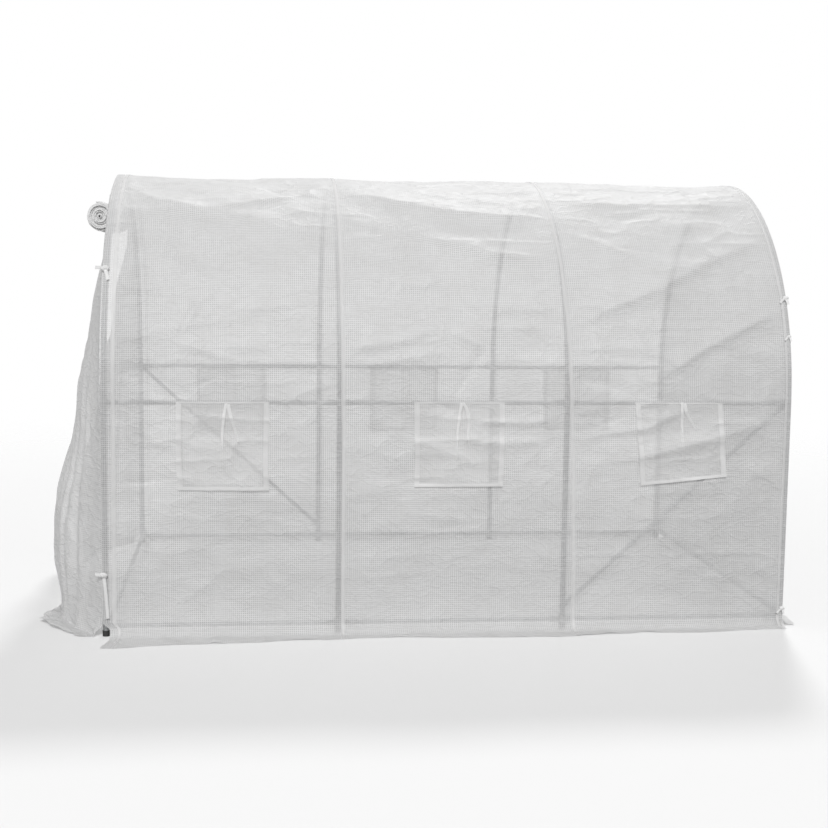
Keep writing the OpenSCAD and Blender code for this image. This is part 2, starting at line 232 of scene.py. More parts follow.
def tapeMaterial(name, look):  # white binding with a row of stitches near each edge
    b = Board(name)
    spot = b.node("ShaderNodeTexCoord", output="UV")
    along = b.node("ShaderNodeSeparateXYZ", {}, {"Vector": spot}, 0)
    across = b.node("ShaderNodeSeparateXYZ", {}, {"Vector": spot}, 1)
    ribs = abs(b.calc("FRACT", along * (1 / stitches["rib"])) - 0.5)
    dash = b.ease(abs(b.calc("FRACT", along * (1 / stitches["step"])) - 0.5), 0.14, 0.2, 1, 0)
    row = b.ease(abs(abs(across) - look["row"]), 0.0004, 0.0012, 1, 0)
    stitch = dash * row
    grain = b.noise(b.place(scale=(1, 3, 1)), 60, 4)
    height = ribs * 0.25 + stitch * 0.9 + grain * 0.7
    normal = b.bump(height, 0.5, 0.0012)
    shade = b.tint(b.ease(grain, 0.3, 0.7), grey(look["white"]), grey(look["white"] - 0.06, 0.004))
    front = b.gloss(Base_Color=b.tint(stitch, shade, grey(0.62)), Roughness=grain * 0.2 + 0.45, Normal=normal)
    through = b.node("ShaderNodeBsdfTranslucent", {}, {"Color": grey(look["white"]), "Normal": normal})
    sheet = b.node("ShaderNodeMixShader", {}, {0: look["glow"], 1: front, 2: through})
    clear = b.node("ShaderNodeBsdfTransparent", {}, {"Color": grey(1.0)})
    cover = grain * 0.08 + look["cover"]
    return b.finish(b.node("ShaderNodeMixShader", {}, {0: cover, 1: clear, 2: sheet}))


def meshMaterial(name, look):  # fine insect netting
    b = Board(name)
    weave = threadGrid(b, look["pitch"], look["width"], 0.2)
    normal = b.bump(weave + b.noise(b.place(), 90, 3) * 0.4, 0.4, 0.0006)
    shade = b.tint(b.noise(b.place(), 30, 4), grey(0.82), grey(0.7, 0.004))
    net = b.gloss(Base_Color=shade, Roughness=0.5, Normal=normal)
    clear = b.node("ShaderNodeBsdfTransparent", {}, {"Color": grey(1.0)})
    return b.finish(b.node("ShaderNodeMixShader", {}, {0: weave * 0.9 + 0.06, 1: clear, 2: net}))


def zincMaterial(name, look):  # hot-dip galvanised tube, with its spangle and dull patches
    b = Board(name)
    spot = b.place("Object")
    spangle = {"Vector": spot, "Scale": look["spangle"], "Randomness": 1.0}
    cells = b.node("ShaderNodeTexVoronoi", {"feature": "F1"}, spangle, 1)
    flake = b.node("ShaderNodeSeparateXYZ", {}, {"Vector": cells}, 0)
    patch = b.ease(b.noise(spot, 9, 4), 0.35, 0.7)
    streak = b.noise(b.place("Object", (1, 1, 0.12)), 140, 3)
    shade = b.tint(flake * 0.6 + patch * 0.4, look["dark"], look["pale"])
    rough = flake * 0.14 + patch * 0.1 + streak * 0.1 + 0.26
    normal = b.bump(flake * 0.35 + streak * 0.6, 0.25, 0.0008)
    return b.finish(b.gloss(Base_Color=shade, Metallic=0.6 - patch * 0.25, Roughness=rough, Normal=normal))


def plasticMaterial(name):  # black moulded caps with a fine matt grain
    b = Board(name)
    spot = b.place("Object")
    grain = b.noise(spot, 900, 3, 0.6)
    scuff = b.ease(b.noise(spot, 60, 5, 0.65), 0.52, 0.72)
    shade = b.tint(scuff, grey(0.018), grey(0.075, 0.004))
    return b.finish(b.gloss(Base_Color=shade, Roughness=grain * 0.2 + scuff * 0.15 + 0.38,
                            Normal=b.bump(grain, 0.35, 0.0004)))


film = filmMaterial("coverFilm", {"open": 0.57, "thread": 0.91, "haze": 0.12, "bump": 0.4, "white": 0.84,
                                  "rough": 0.42, "glow": 0.36})
looseFilm = filmMaterial("looseFilm", {"open": 0.56, "thread": 0.93, "haze": 0.16, "bump": 0.5, "white": 0.84,
                                       "rough": 0.42, "glow": 0.36})
rolledFilm = filmMaterial("rolledFilm", {"open": 0.93, "thread": 0.97, "haze": 0.04, "bump": 0.5,
                                         "white": 0.88, "rough": 0.42, "glow": 0.2})
flapFilm = filmMaterial("flapFilm", {"open": 0.58, "thread": 0.70, "haze": 0.12, "bump": 0.4, "white": 0.88,
                                     "rough": 0.40, "glow": 0.40})
tape = tapeMaterial("seamTape", {"row": 0.008, "white": 0.89, "glow": 0.3, "cover": 0.58})
strap = tapeMaterial("tieStrap", {"row": 0.005, "white": 0.91, "glow": 0.3, "cover": 0.94})
flapTape = tapeMaterial("flapTape", {"row": 0.009, "white": 0.90, "glow": 0.3, "cover": 0.74})
netting = meshMaterial("windowNetting", {"pitch": 0.0022, "width": 0.36})
zinc = zincMaterial("galvanisedTube", {"spangle": 95.0, "dark": (0.21, 0.215, 0.22, 1),
                                       "pale": (0.37, 0.375, 0.38, 1)})
blackPlastic = plasticMaterial("blackCap")
print("materials made")

for name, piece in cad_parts.items():
    if any(word in name for word in ("post", "arch", "rail", "brace")):
        piece.data.materials.clear()
        piece.data.materials.append(zinc)
    elif name == "foot_caps":
        piece.data.materials.clear()
        piece.data.materials.append(blackPlastic)

# Sheets: each starts as a flat grid and is laid in its place


def sheet(name, cols, rows, lay, material, slot, window=None):
    bm = bmesh.new()
    bmesh.ops.create_grid(bm, x_segments=cols, y_segments=rows, size=0.5)
    if window:  # the opening, given as low and high shares of the sheet's two sides
        for box in window:
            for axis in (0, 1):
                for edge in (0, 1):
                    at, way = [0, 0, 0], [0, 0, 0]
                    at[axis], way[axis] = box[axis][edge] - 0.5, 1
                    parts = list(bm.verts) + list(bm.edges) + list(bm.faces)
                    bmesh.ops.bisect_plane(bm, geom=parts, dist=1e-6, plane_co=at, plane_no=way)
            gone = []
            for face in bm.faces:
                spot = face.calc_center_median()
                if all(box[i][0] - 0.5 < spot[i] < box[i][1] - 0.5 for i in (0, 1)):
                    gone.append(face)
            bmesh.ops.delete(bm, geom=gone, context="FACES")
    mesh = bpy.data.meshes.new(name)
    bm.to_mesh(mesh)
    bm.free()
    flat = np.empty(len(mesh.vertices) * 3)
    mesh.vertices.foreach_get("co", flat)
    flat = flat.reshape(-1, 3) + 0.5
    points, cloth = lay(flat[:, 0], flat[:, 1])
    mesh.vertices.foreach_set("co", np.asarray(points, float).T.ravel())
    corners = np.empty(len(mesh.loops), int)
    mesh.loops.foreach_get("vertex_index", corners)
    uv = mesh.uv_layers.new(name="flat")
    uv.data.foreach_set("uv", np.asarray(cloth, float).T[corners].ravel())
    mesh.update()
    return dress(name, mesh, material)


def dress(name, mesh, material, smoothed=True):
    piece = bpy.data.objects.new(name, mesh)
    scene.collection.objects.link(piece)
    mesh.materials.append(material)
    if smoothed:
        mesh.shade_smooth()
    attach(piece, "root")
    return piece


# The cover over the tunnel: x along it, girth along the cloth from the ridge, front side negative

cover = {"cell": 0.010, "fold": 2.0, "sag": 0.011, "deepest": 0.019, "bend": 0.055, "lift": 0.0011}

# Folds of one wall and its half of the roof: points as (x, girth from the floor), then the height
# of the crest and how far it spreads above it and below it
folds = [
    ([(-1.33, 2.19), (-1.17, 2.00), (-0.95, 1.97)], 0.010, 0.06, 0.05),
    ([(-0.50, 2.15), (-0.72, 2.04), (-0.90, 1.98), (-0.97, 1.97)], 0.010, 0.05, 0.05),
    ([(-1.36, 1.95), (-1.14, 1.95), (-0.95, 1.96), (-0.77, 1.92), (-0.56, 1.83)], 0.016, 0.16, 0.10),
    ([(-1.00, 1.48), (-1.08, 1.29)], 0.0045, 0.018, 0.018),
    ([(-0.97, 1.46), (-1.05, 1.29)], 0.004, 0.016, 0.016),
    ([(-1.01, 1.25), (-0.80, 1.25), (-0.62, 1.24)], 0.004, 0.03, 0.02),
    ([(-0.86, 1.19), (-0.66, 1.18), (-0.45, 1.18)], 0.006, 0.03, 0.02),
    ([(-1.36, 1.15), (-1.22, 1.13), (-1.13, 1.07), (-0.98, 1.03)], -0.009, 0.03, 0.06),
    ([(-1.08, 1.27), (-0.95, 1.23), (-0.80, 1.19)], 0.006, 0.03, 0.03),
    ([(-1.36, 1.53), (-1.28, 1.51), (-1.14, 1.50)], 0.005, 0.03, 0.02),
    ([(-0.80, 1.42), (-0.55, 1.44)], 0.004, 0.03, 0.02),
    ([(-1.30, 0.95), (-1.16, 0.84), (-1.05, 0.80)], 0.005, 0.03, 0.03),
    ([(-0.36, 2.18), (-0.12, 2.07), (0.06, 2.00), (0.24, 1.97), (0.62, 1.96)], 0.015, 0.12, 0.08),
    ([(-0.18, 1.87), (0.00, 1.81), (0.30, 1.71), (0.63, 1.65)], 0.012, 0.08, 0.05),
    ([(-0.36, 1.25), (-0.18, 1.26), (0.06, 1.33)], 0.007, 0.03, 0.03),
    ([(-0.36, 1.15), (-0.14, 1.19), (0.10, 1.24)], 0.007, 0.03, 0.03),
    ([(0.10, 1.33), (0.26, 1.25)], 0.006, 0.02, 0.03),
    ([(0.27, 1.27), (0.12, 1.03)], -0.006, 0.02, 0.03),
    ([(0.28, 1.43), (0.58, 1.42)], 0.005, 0.03, 0.02),
    ([(0.20, 1.35), (0.56, 1.34)], 0.005, 0.02, 0.03),
    ([(-0.30, 1.58), (-0.05, 1.55), (0.15, 1.57)], 0.005, 0.06, 0.04),
    ([(0.10, 0.86), (0.35, 0.83), (0.60, 0.85)], 0.005, 0.03, 0.04),
    ([(0.24, 0.93), (0.45, 0.92), (0.60, 0.96)], 0.006, 0.03, 0.03),
    ([(1.63, 1.85), (1.41, 1.73), (1.06, 1.53), (0.78, 1.41), (0.62, 1.34)], 0.017, 0.10, 0.05),
    ([(1.63, 1.44), (1.41, 1.34), (1.24, 1.25), (1.00, 1.10)], 0.014, 0.08, 0.04),
    ([(0.70, 1.84), (0.97, 1.70)], 0.005, 0.03, 0.03),
    ([(0.91, 1.39), (1.00, 1.25)], 0.005, 0.02, 0.02),
    ([(0.64, 1.25), (0.98, 1.25)], 0.005, 0.03, 0.02),
    ([(0.62, 1.12), (0.78, 1.10), (0.92, 1.05)], -0.006, 0.03, 0.03),
    ([(0.62, 2.12), (0.95, 2.08), (1.55, 2.10)], 0.009, 0.10, 0.07),
    ([(0.66, 0.72), (1.00, 0.78), (1.45, 0.90), (1.63, 0.98)], 0.010, 0.06, 0.05),
    ([(0.70, 0.86), (0.98, 0.90), (1.20, 1.00)], 0.007, 0.05, 0.03),
]


def foldHeight(x, g, path, height, above, below):
    best, side, share = np.full(x.shape, 9.0), np.zeros(x.shape), np.zeros(x.shape)
    lengths = [math.dist(a, b) for a, b in zip(path, path[1:])]
    run = 0.0
    for (ax, ag), (bx, bg), length in zip(path, path[1:], lengths):
        dx, dg = (bx - ax) / length, (bg - ag) / length
        upward = -1 if dx < 0 else 1
        t = np.clip((x - ax) * dx + (g - ag) * dg, 0, length)
        away = np.hypot(x - ax - t * dx, g - ag - t * dg)
        near = away < best
        best = np.where(near, away, best)
        side = np.where(near, upward * ((g - ag) * dx - (x - ax) * dg), side)
        share = np.where(near, (run + t) / sum(lengths), share)
        run += length
    below *= 0.55
    edge = 0.3 * min(above, below)
    spread = below + (above - below) * smooth(side / edge / 2 + 0.5)
    ends = smooth(share / 0.3) * smooth((1 - share) / 0.3) * 0.85 + 0.15
    return height * ends * np.exp(-(np.sqrt(best**2 + edge**2) - edge) / spread)


def smallFolds(seed, count):  # short creases, most of them running along the tunnel
    rng = np.random.default_rng(seed)
    made = []
    for _ in range(count):
        x, g = rng.uniform(hoopX[0], hoopX[3]), rng.uniform(0.15, crown - 0.05)
        turn, length = rng.normal(0, 0.45), rng.uniform(0.08, 0.34)
        dx, dg = length / 2 * math.cos(turn), length / 2 * math.sin(turn)
        height = rng.uniform(0.0015, 0.004) * rng.choice([1, 1, -1])
        spread = rng.uniform(0.014, 0.035)
        path = [(x - dx, g - dg), (x, g + rng.normal(0, 0.012)), (x + dx, g + dg)]
        made.append((path, height, spread, spread))
    return made


turnedFolds = [([(-x, g) for x, g in path], *rest) for path, *rest in folds]
sides = {-1: folds + smallFolds(11, 70), 1: turnedFolds + smallFolds(12, 70)}


def relief(x, v):  # how far the cloth stands out from its plain shape
    x, v = np.asarray(x, float), np.asarray(v, float)
    g = crown - np.abs(v)
    out = np.zeros(x.shape)
    for side, made in sides.items():
        share = smooth(0.5 + side * v / 0.3)  # each side's folds die out past the ridge
        for fold in made:
            out += share * foldHeight(x, g, *fold)
    out *= cover["fold"]
    out += 0.008 * cloud(x, v * 1.4, 0.30, 3) + 0.003 * cloud(x, v * 1.8, 0.11, 4)
    ridged = 1 - np.abs(cloud(x + 0.1 * cloud(x, v, 0.25, 7), v * 2.0, 0.17, 5)) * 2
    out += 0.0045 * np.maximum(ridged, 0) ** 2 * smooth((g - 0.1) / 0.2)
    gap = np.min([np.abs(x - h) for h in hoopX], axis=0)
    inside = (x > hoopX[0]) & (x < hoopX[3])
    bay = np.clip(gap / 0.5, 0, 1)
    out -= np.where(inside, cover["sag"] * (1 - (1 - bay) ** 2), 0) * smooth(g / 0.15)
    out *= smooth(gap / 0.10) * 0.75 + 0.25
    floorOf = np.where(inside, -cover["deepest"] * smooth((gap - tubeR) / 0.08), 0)
    out = np.maximum(out, floorOf)
    ends = smooth((x - doorX) / 0.02) * smooth((farX - x) / 0.02)
    return out * ends


# Distance of the skirt's edge from the wall, from the door end to the far end
reach = {"x": [-1.39, -1.315, -1.135, -0.885, -0.545, -0.115, 0.325, 0.585, 0.955, 1.225, 1.445, 1.64],
         "out": [0.190, 0.192, 0.160, 0.146, 0.120, 0.098, 0.124, 0.128, 0.086, 0.102, 0.066, 0.060]}
skirtRun = 0.085  # length of the flat part as it was cut
girthHalf = quarter + springZ - cover["bend"] + cover["bend"] * math.pi / 2 + skirtRun


def coverPoint(x, v, lift=0.0):
    x, v = np.asarray(x, float), np.asarray(v, float)
    side, a = np.where(v < 0, -1.0, 1.0), np.abs(v)
    bend, wall = cover["bend"], springZ - cover["bend"]
    turn = np.clip(a, 0, quarter) / filmR
    down = np.clip(a - quarter, 0, wall)
    curl = np.clip(a - quarter - wall, 0, bend * math.pi / 2) / bend
    run = np.clip(a - quarter - wall - bend * math.pi / 2, 0, None)
    out = relief(x, v) + lift
    along = np.where(v < 0, x, -x)
    edge = np.interp(along, reach["x"], reach["out"]) + 0.008 * cloud(along, side, 0.07, 21)
    far = np.maximum(edge - bend, 0.004) / skirtRun
    y = filmR * np.sin(turn) + bend * (1 - np.cos(curl)) + run * far
    z = np.where(a < quarter, springZ + filmR * np.cos(turn), springZ - down - bend * np.sin(curl))
    ny = np.where(a < quarter, np.sin(turn), np.cos(curl))
    nz = np.where(a < quarter, np.cos(turn), np.sin(curl))
    hem = smooth((curl / (np.pi / 2)) * 0.3 + run / skirtRun * 0.9)
    ripple = 0.002 + 0.007 * cloud(along, side * 3, 0.10, 22) + 0.004 * cloud(along, side * 5, 0.035, 23)
    z = z + 0.0012 + hem * np.maximum(ripple, 0)
    # pulled aside at the foot of the door end's posts
    corner = smooth((a + 0.06 - crown) / 0.035) * (1 - 0.8 * smooth(run / skirtRun))
    x = x + np.where(side < 0, 0.032, 0.010) * corner * smooth((doorX + 0.12 - x) / 0.11)
    return np.array([x, side * (y + ny * out), np.maximum(z + nz * out, 0.0008)])


windowPlan = {"half": 0.170, "low": 0.660, "high": 0.985,
              "centres": [(a + b) / 2 for a, b in zip(hoopX, hoopX[1:])]}


def vOf(z, side):  # cloth coordinate of a height on a wall
    return side * (quarter + springZ - z)


def bayCover(n, low, high):
    centre = windowPlan["centres"][n - 1]
    holes = []
    for side in (-1, 1):
        ends = sorted(vOf(z, side) for z in (windowPlan["low"], windowPlan["high"]))
        holes.append((tuple((centre + k * windowPlan["half"] - low) / (high - low) for k in (-1, 1)),
                      tuple((v + girthHalf) / (2 * girthHalf) for v in ends)))

    def lay(a, b):
        x, v = low + a * (high - low), (2 * b - 1) * girthHalf
        return coverPoint(x, v), (x, v)

    cols, rows = round((high - low) / cover["cell"]), round(2 * girthHalf / cover["cell"])
    piece = sheet(f"coverBay{n}", cols, rows, lay, film, "film", holes)
    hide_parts(f"roof_{n}", f"front_wall_{n}", f"back_wall_{n}")
    return piece


edges = [doorX, *seamX, farX]
bays = [bayCover(n, edges[n - 1], edges[n]) for n in (1, 2, 3)]
print("cover laid")

# Seam tapes: strips sewn on along the cloth

tapes = {"width": [0.018, 0.018, 0.018, 0.011], "slant": [0.0, 0.006, 0.030, 0.0], "inset": (0.022, 0.0),
         "length": 0.010}
inset = [tapes["width"][n] / 2 + tapes["inset"][n] for n in (0, -1)]
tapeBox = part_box("cover_seam_tapes")
tapeX = [tapeBox[0].x + inset[0], *seamX, tapeBox[1].x - inset[1]]


def seamTape(n, at):
    slant, width = tapes["slant"][n], tapes["width"][n]

    def lay(a, b):
        v = (2 * b - 1) * girthHalf
        g = crown - np.abs(v)
        lean = slant * (1 - 2 * smooth(g / 2.2)) + 0.003 * cloud(v, n, 0.3, 31 + n)
        x = at + lean + (a - 0.5) * width * (1 + 0.12 * cloud(v, n, 0.08, 36 + n))
        return coverPoint(x, v, cover["lift"] + 0.0006 * (1 - (2 * a - 1) ** 2)), (v, (a - 0.5) * width)

    return sheet(f"seamTape{n + 1}", 4, round(2 * girthHalf / tapes["length"]), lay, tape, "tape")


seamTapes = [seamTape(n, at) for n, at in enumerate(tapeX)]
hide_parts("cover_seam_tapes")
print("seams taped")

# Ends

endFloor = 0.0012


def archTop(y):
    return springZ + np.sqrt(np.maximum(filmR**2 - np.asarray(y, float) ** 2, 0))


farEnd = {"cell": 0.012, "tall": 2.05, "bend": 0.042, "run": 0.018, "skirt": 0.042, "bulge": 0.012}


def layFarEnd(a, b):
    y = (2 * a - 1) * filmR
    bend, run = farEnd["bend"], farEnd["run"]
    low = bend * math.pi / 2 + run  # cloth below the start of the bend
    tall = archTop(y) - bend
    s = low - b * (low + tall)  # 0 where the bend begins, positive below it
    curl, flat = np.clip(s, 0, bend * math.pi / 2) / bend, np.clip(s - bend * math.pi / 2, 0, None)
    z = np.where(s < 0, bend - s, bend * (1 - np.sin(curl)))
    rim = np.minimum(filmR - np.hypot(y, np.maximum(z - springZ, 0)), z + 0.05)
    loose = smooth(rim / 0.35)
    wrinkle = 0.006 * cloud(y, z * 0.8, 0.28, 41) + 0.003 * cloud(y, z, 0.09, 42)
    wrinkle += 0.004 * np.maximum(1 - 2 * np.abs(cloud(y + z * 0.4, z * 0.6, 0.2, 43)), 0) ** 2
    x = farX + bend * (1 - np.cos(curl)) + flat + loose * (farEnd["bulge"] * 0.4 + wrinkle)
    lip = smooth((curl * bend + flat) / low) * np.maximum(0.006 + 0.010 * cloud(y, 0.5, 0.09, 44), 0)
    return np.array([x, y, np.maximum(z + lip + endFloor, 0.0008)]), (y, z - curl * bend - flat)


cols, rows = round(2 * filmR / farEnd["cell"]), round(farEnd["tall"] / farEnd["cell"])
farPiece = sheet("farEndSheet", cols, rows, layFarEnd, film, "film")
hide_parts("far_end_panel")


def layHeader(a, b):
    y = (1 - 2 * a) * doorHalf
    z = headerZ + b * (archTop(y) - headerZ)
    rim = smooth((archTop(y) - z) / 0.1) * smooth((z - headerZ + 0.02) / 0.05)
    x = doorX + np.where(b > 0.999, 0.0008, -0.003) - rim * (0.003 + 0.003 * cloud(y, z, 0.12, 51))
    return np.array([x, y, z]), (y, z)


header = sheet("doorHeader", 90, 24, layHeader, film, "film")
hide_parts("door_end_header")

# How far a loose door-end panel stands out at the doorway, by height
loosePanel = {"cell": 0.010, "tall": 2.1, "skirt": 0.13, "inside": 0.0005,
              "z": [0, 0.07, 0.28, 0.45, 0.60, 0.73, 0.87, 0.965, 1.08, 1.15, 1.235, 1.39, 1.55, 1.66, 2.1],
              "out": [0.235, 0.242, 0.270, 0.262, 0.230, 0.192, 0.160, 0.154, 0.146, 0.120, 0.095, 0.078,
                      0.048, 0.004, 0.0],
              "flareY": [0.45, 0.54, 0.75, 0.92, 1.00, 1.02],
              "flare": [0.010, 0.020, 0.120, 0.108, 0.080, 0.060]}


def layPanel(side):
    holdR = filmR - loosePanel["inside"]

    def lay(a, b):
        share = a if side < 0 else 1 - a  # from 1 at the leg to 0 at the doorway
        y = doorHalf + share * (holdR - doorHalf)
        top = archTop(y)
        skirt = loosePanel["skirt"]
        drop = b * (top + skirt) - skirt  # height, and below 0 the cloth that lies on the floor
        z = np.maximum(drop, 0)
        # where the arch holds it
        sewn = np.sqrt(np.maximum(holdR**2 - np.maximum(z - springZ, 0) ** 2, 0))
        s = np.clip((sewn - y) / np.maximum(sewn - doorHalf, 0.002), 0, 1)
        out = np.interp(z, loosePanel["z"], loosePanel["out"])
        for shift in (0.03, -0.03, 0.06, -0.06):
            out = out + np.interp(np.maximum(z + shift, 0), loosePanel["z"], loosePanel["out"])
        out = out / 5 * np.sin(np.pi / 2 * s)
        fall = smooth((top - z) / 0.7)  # pleats start below the arch
        grow = smooth(s / 0.25) * fall
        sway = s + 0.05 * cloud(z, s * 2, 0.4, 61 + side)
        pleat = 0.005 * np.sin(sway * 31 + 1.5 * cloud(z, s * 3, 0.5, 63 + side)) * smooth((1.5 - z) / 0.9)
        crease = 0.008 * cloud(s * 0.56, z * 0.35, 0.11, 65 + side)
        pleat += crease + 0.004 * cloud(s * 0.56, z * 0.7, 0.05, 67 + side)
        flare = np.interp(y, loosePanel["flareY"], loosePanel["flare"])
        spread = flare * np.clip(-drop / skirt, 0, 1)
        near = smooth((0.12 - z) / 0.12) * flare * 0.12
        hold = np.where(s < 0.001, 0.0008, -0.004)  # the sewn edge meets the cover's edge
        corner = 0.026 * smooth((0.045 - z) / 0.03) * smooth(1 - s / 0.08)  # pulled aside at the foot
        x = doorX + hold - out - grow * pleat - spread - near - corner
        lip = np.clip(-drop / skirt, 0, 1) * np.maximum(0.010 + 0.014 * cloud(y * side, 0.5, 0.08, 69), 0)
        inward = smooth(s / 0.3) * 0.012 * cloud(z, 1.5, 0.35, 71 + side) * smooth((1.4 - z) / 0.5)
        return np.array([x, side * (y + inward), np.maximum(z + lip + endFloor, 0.0008)]), (side * y, drop)

    return lay


def doorPanel(side, node):
    name = "doorPanelFront" if side < 0 else "doorPanelBack"
    cols = round((filmR - doorHalf) / loosePanel["cell"])
    rows = round(loosePanel["tall"] / loosePanel["cell"])
    piece = sheet(name, cols, rows, layPanel(side), looseFilm, "film")
    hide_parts(node)
    return piece


frontPanel = doorPanel(-1, "door_end_panel_front")
backPanel = doorPanel(1, "door_end_panel_back")
print("ends hung")

# Rolled-up door

roll = {"box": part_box("door_roll"), "core": 0.0045, "pitch": 0.0068, "steps": 40, "cell": 0.02,
        "thick": 0.0067, "length": 1.75, "tie": 0.020}
rollX = (roll["box"][0].x + roll["box"][1].x) / 2 + 0.014
rollZ = (roll["box"][0].z + roll["box"][1].z) / 2 - 0.006
rollR = (roll["box"][1].z - roll["box"][0].z) / 2
rollHalf = roll["box"][1].y
tieY = 0.279
turns = (rollR + 0.001 - roll["core"]) / roll["pitch"]


def layRoll(a, b):
    y = (2 * a - 1) * rollHalf
    turn = b * turns
    radius = roll["core"] + turn * roll["pitch"]
    angle = turn * 2 * math.pi - 1.9
    outer = smooth((turn - turns + 1.2) / 1.2)
    pinch = 0.006 * np.exp(-((np.abs(y) - tieY) / 0.035) ** 2) * smooth(turn / turns)
    crumple = 0.0035 * cloud(y, angle * 0.09, 0.09, 81) + 0.0018 * cloud(y, angle * 0.09, 0.03, 82)
    radius = radius + outer * crumple - pinch + 0.0008 * cloud(y, angle * 0.2, 0.05, 83)
    uneven = 0.006 * cloud(turn * 0.3, 0.2, 0.5, 84) * np.sign(y)  # the layers' ends don't line up
    x = rollX + radius * np.cos(angle) * 0.95
    z = rollZ + radius * np.sin(angle) * 1.03 - 0.004 * np.cos(y / rollHalf * math.pi) + 0.002
    return np.array([x, y * 0.985 + uneven, z]), (y, b * roll["length"])


cols, rows = round(2 * rollHalf / roll["cell"]), round(turns * roll["steps"])
doorRoll = sheet("doorRollSheet", cols, rows, layRoll, rolledFilm, "door_film")
thicken = doorRoll.modifiers.new("layers", "SOLIDIFY")  # so thick that the turns of the roll nearly touch
thicken.thickness, thicken.offset = roll["thick"], 0
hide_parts("door_roll")


def strip(name, path, width, across):  # a ribbon along a path
    path = [Vector(p) for p in path]
    lengths = [0.0]
    for p, q in zip(path, path[1:]):
        lengths.append(lengths[-1] + (q - p).length)
    places = np.array(path)
    side = np.array(Vector(across).normalized())

    def lay(a, b):
        at = b * lengths[-1]
        middle = np.array([np.interp(at, lengths, places[:, i]) for i in (0, 1, 2)])
        return middle + side[:, None] * (a - 0.5) * width, (at, (a - 0.5) * width)

    return sheet(name, 3, max(12, round(lengths[-1] / 0.004)), lay, strap, "tape")


def bendPath(points, steps=14):  # a smooth line through a few points
    points = [Vector(p) for p in points]
    points = [2 * points[0] - points[1], *points, 2 * points[-1] - points[-2]]
    line = []
    for a, b, c, d in zip(points, points[1:], points[2:], points[3:]):
        for k in range(steps):
            t = k / steps
            start = 2 * b + (c - a) * t
            line.append(0.5 * (start + (2 * a - 5 * b + 4 * c - d) * t**2 + (3 * b - a - 3 * c + d) * t**3))
    return [*line, points[-2]]


for side in (-1, 1):
    ring = rollR - 0.002
    loop = [(rollX + ring * math.cos(t), side * tieY, rollZ + ring * math.sin(t) - 0.003)
            for t in np.radians(np.arange(78, 442, 7))]
    hang = bendPath([(doorX - 0.006, side * tieY, headerZ + 0.105),
                     (doorX - 0.02, side * tieY, headerZ + 0.095),
                     (rollX + 0.02, side * tieY, rollZ + ring + 0.003), loop[0]])
    name = "rollTieFront" if side < 0 else "rollTieBack"
    strip(name, [*hang[:-1], *loop], roll["tie"], (0, 1, 0))
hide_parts("door_roll_ties")
print("door rolled")

# Windows: a flap sewn along its top over a netted opening

flap = {"half": 0.198, "low": 0.632, "high": 1.013, "tall": 0.381, "cell": 0.007, "lift": 0.004,
        "strip": 0.023, "hem": 0.014, "top": 0.007, "sewn": 0.39}
flapSets = {  # shift along the wall, shift of the lower edge, rise of its two corners, seed
    -1: [(0.0, 0.0, 0.002, 0.0, 1), (0.021, 0.0, 0.010, 0.014, 2), (-0.002, 0.034, 0.012, 0.051, 3)],
    1: [(0.004, 0.006, 0.006, 0.0, 4), (-0.006, -0.010, 0.0, 0.012, 5), (0.002, 0.004, 0.010, 0.004, 6)],
}


def flapPoint(side, centre, plan, s, t, lift):  # s across from -1 to 1, t up from 0 to 1
    shift, lean, leftUp, rightUp, seed = plan
    s, t = np.asarray(s, float), np.asarray(t, float)
    rise = (leftUp * (1 - s) + rightUp * (1 + s)) / 2
    z = flap["low"] + rise * (1 - t) + t * (flap["high"] - flap["low"])
    across = s * flap["half"] * (1 - 0.02 * (1 - t))
    x = centre + shift + lean * (1 - t) + across + 0.003 * cloud(t * 0.4, seed, 0.15, 90 + seed)
    crease = np.maximum(1 - 2 * np.abs(cloud(s * 0.2 + t * 0.15, t * 0.38, 0.13, 99 + seed)), 0) ** 2
    belly = 0.004 * cloud(s * 0.2, t * 0.38, 0.16, 95 + seed) + 0.003 * crease
    stand = flap["lift"] + np.maximum(belly, 0) * smooth((1 - t) / 0.25) + 0.003 * (1 - t)
    return coverPoint(x, vOf(z, side), stand + lift)


def windowFlap(side, n, centre, plan):
    mark = f"{'Front' if side < 0 else 'Back'}{n}"

    def lay(a, b):
        s = (2 * a - 1) * -side
        points = flapPoint(side, centre, plan, s, b, 0.0)
        return points, (s * flap["half"], b * flap["tall"])

    cols, rows = round(2 * flap["half"] / flap["cell"]), round(flap["tall"] / flap["cell"])
    piece = sheet(f"windowFlap{mark}", cols, rows, lay, flapFilm, "film")
    extra = []
    edgeShare = flap["strip"] / flap["half"] / 2
    for place, name in ((-1, "Left"), (1, "Right")):

        def laySide(a, b, place=place):
            s = place * (1 - edgeShare) + (a - 0.5) * 2 * edgeShare * -side
            return flapPoint(side, centre, plan, s, b, 0.0012), (b * flap["tall"], (a - 0.5) * flap["strip"])

        extra.append(sheet(f"flapStrip{name}{mark}", 4, rows, laySide, flapTape, "tape"))

    def layHem(a, b):
        s = (2 * a - 1) * 0.99 * -side
        t = b * flap["hem"] / flap["tall"]
        return flapPoint(side, centre, plan, s, t, 0.0018), (a * flap["sewn"], (b - 0.5) * flap["hem"])

    extra.append(sheet(f"flapHem{mark}", cols, 3, layHem, flapTape, "tape"))

    def layTop(a, b):
        s = (2 * a - 1) * side
        t = 1 - b * flap["top"] / flap["tall"] + 0.004
        return flapPoint(side, centre, plan, s, t, 0.0018), (a * flap["sewn"], (b - 0.5) * flap["top"])

    extra.append(sheet(f"flapHeader{mark}", cols, 3, layTop, tape, "tape"))
    return piece, extra


net = {"overlap": 0.012, "flat": (0.364, 0.349), "cells": 30}


